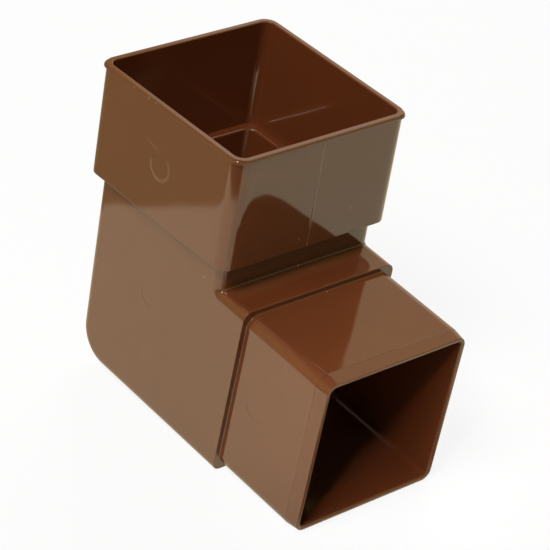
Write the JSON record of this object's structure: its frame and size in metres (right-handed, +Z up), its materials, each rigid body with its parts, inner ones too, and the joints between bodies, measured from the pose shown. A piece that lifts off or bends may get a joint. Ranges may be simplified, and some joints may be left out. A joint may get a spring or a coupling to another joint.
{
  "type": "downspout elbow",
  "caption": "Glossy brown plastic elbow for square rainwater downpipe: beaded socket on top, bend with a rounded heel and a collar, and a tapered spigot below.",
  "frame": {"origin": "centre of the pipe stop in the socket, on the socket's centre line, in the plane of the stop's upper face", "axes": "+Z up the socket's centre line, out of its mouth; +X towards the outlet; the shape is mirrored across Y = 0"},
  "size_m": [0.1196, 0.0712, 0.1149],
  "materials": {
    "brown_plastic": "gloss"
  },
  "bodies": {
    "root": {"downspout_elbow": "brown_plastic"}
  },
  "joints": []
}
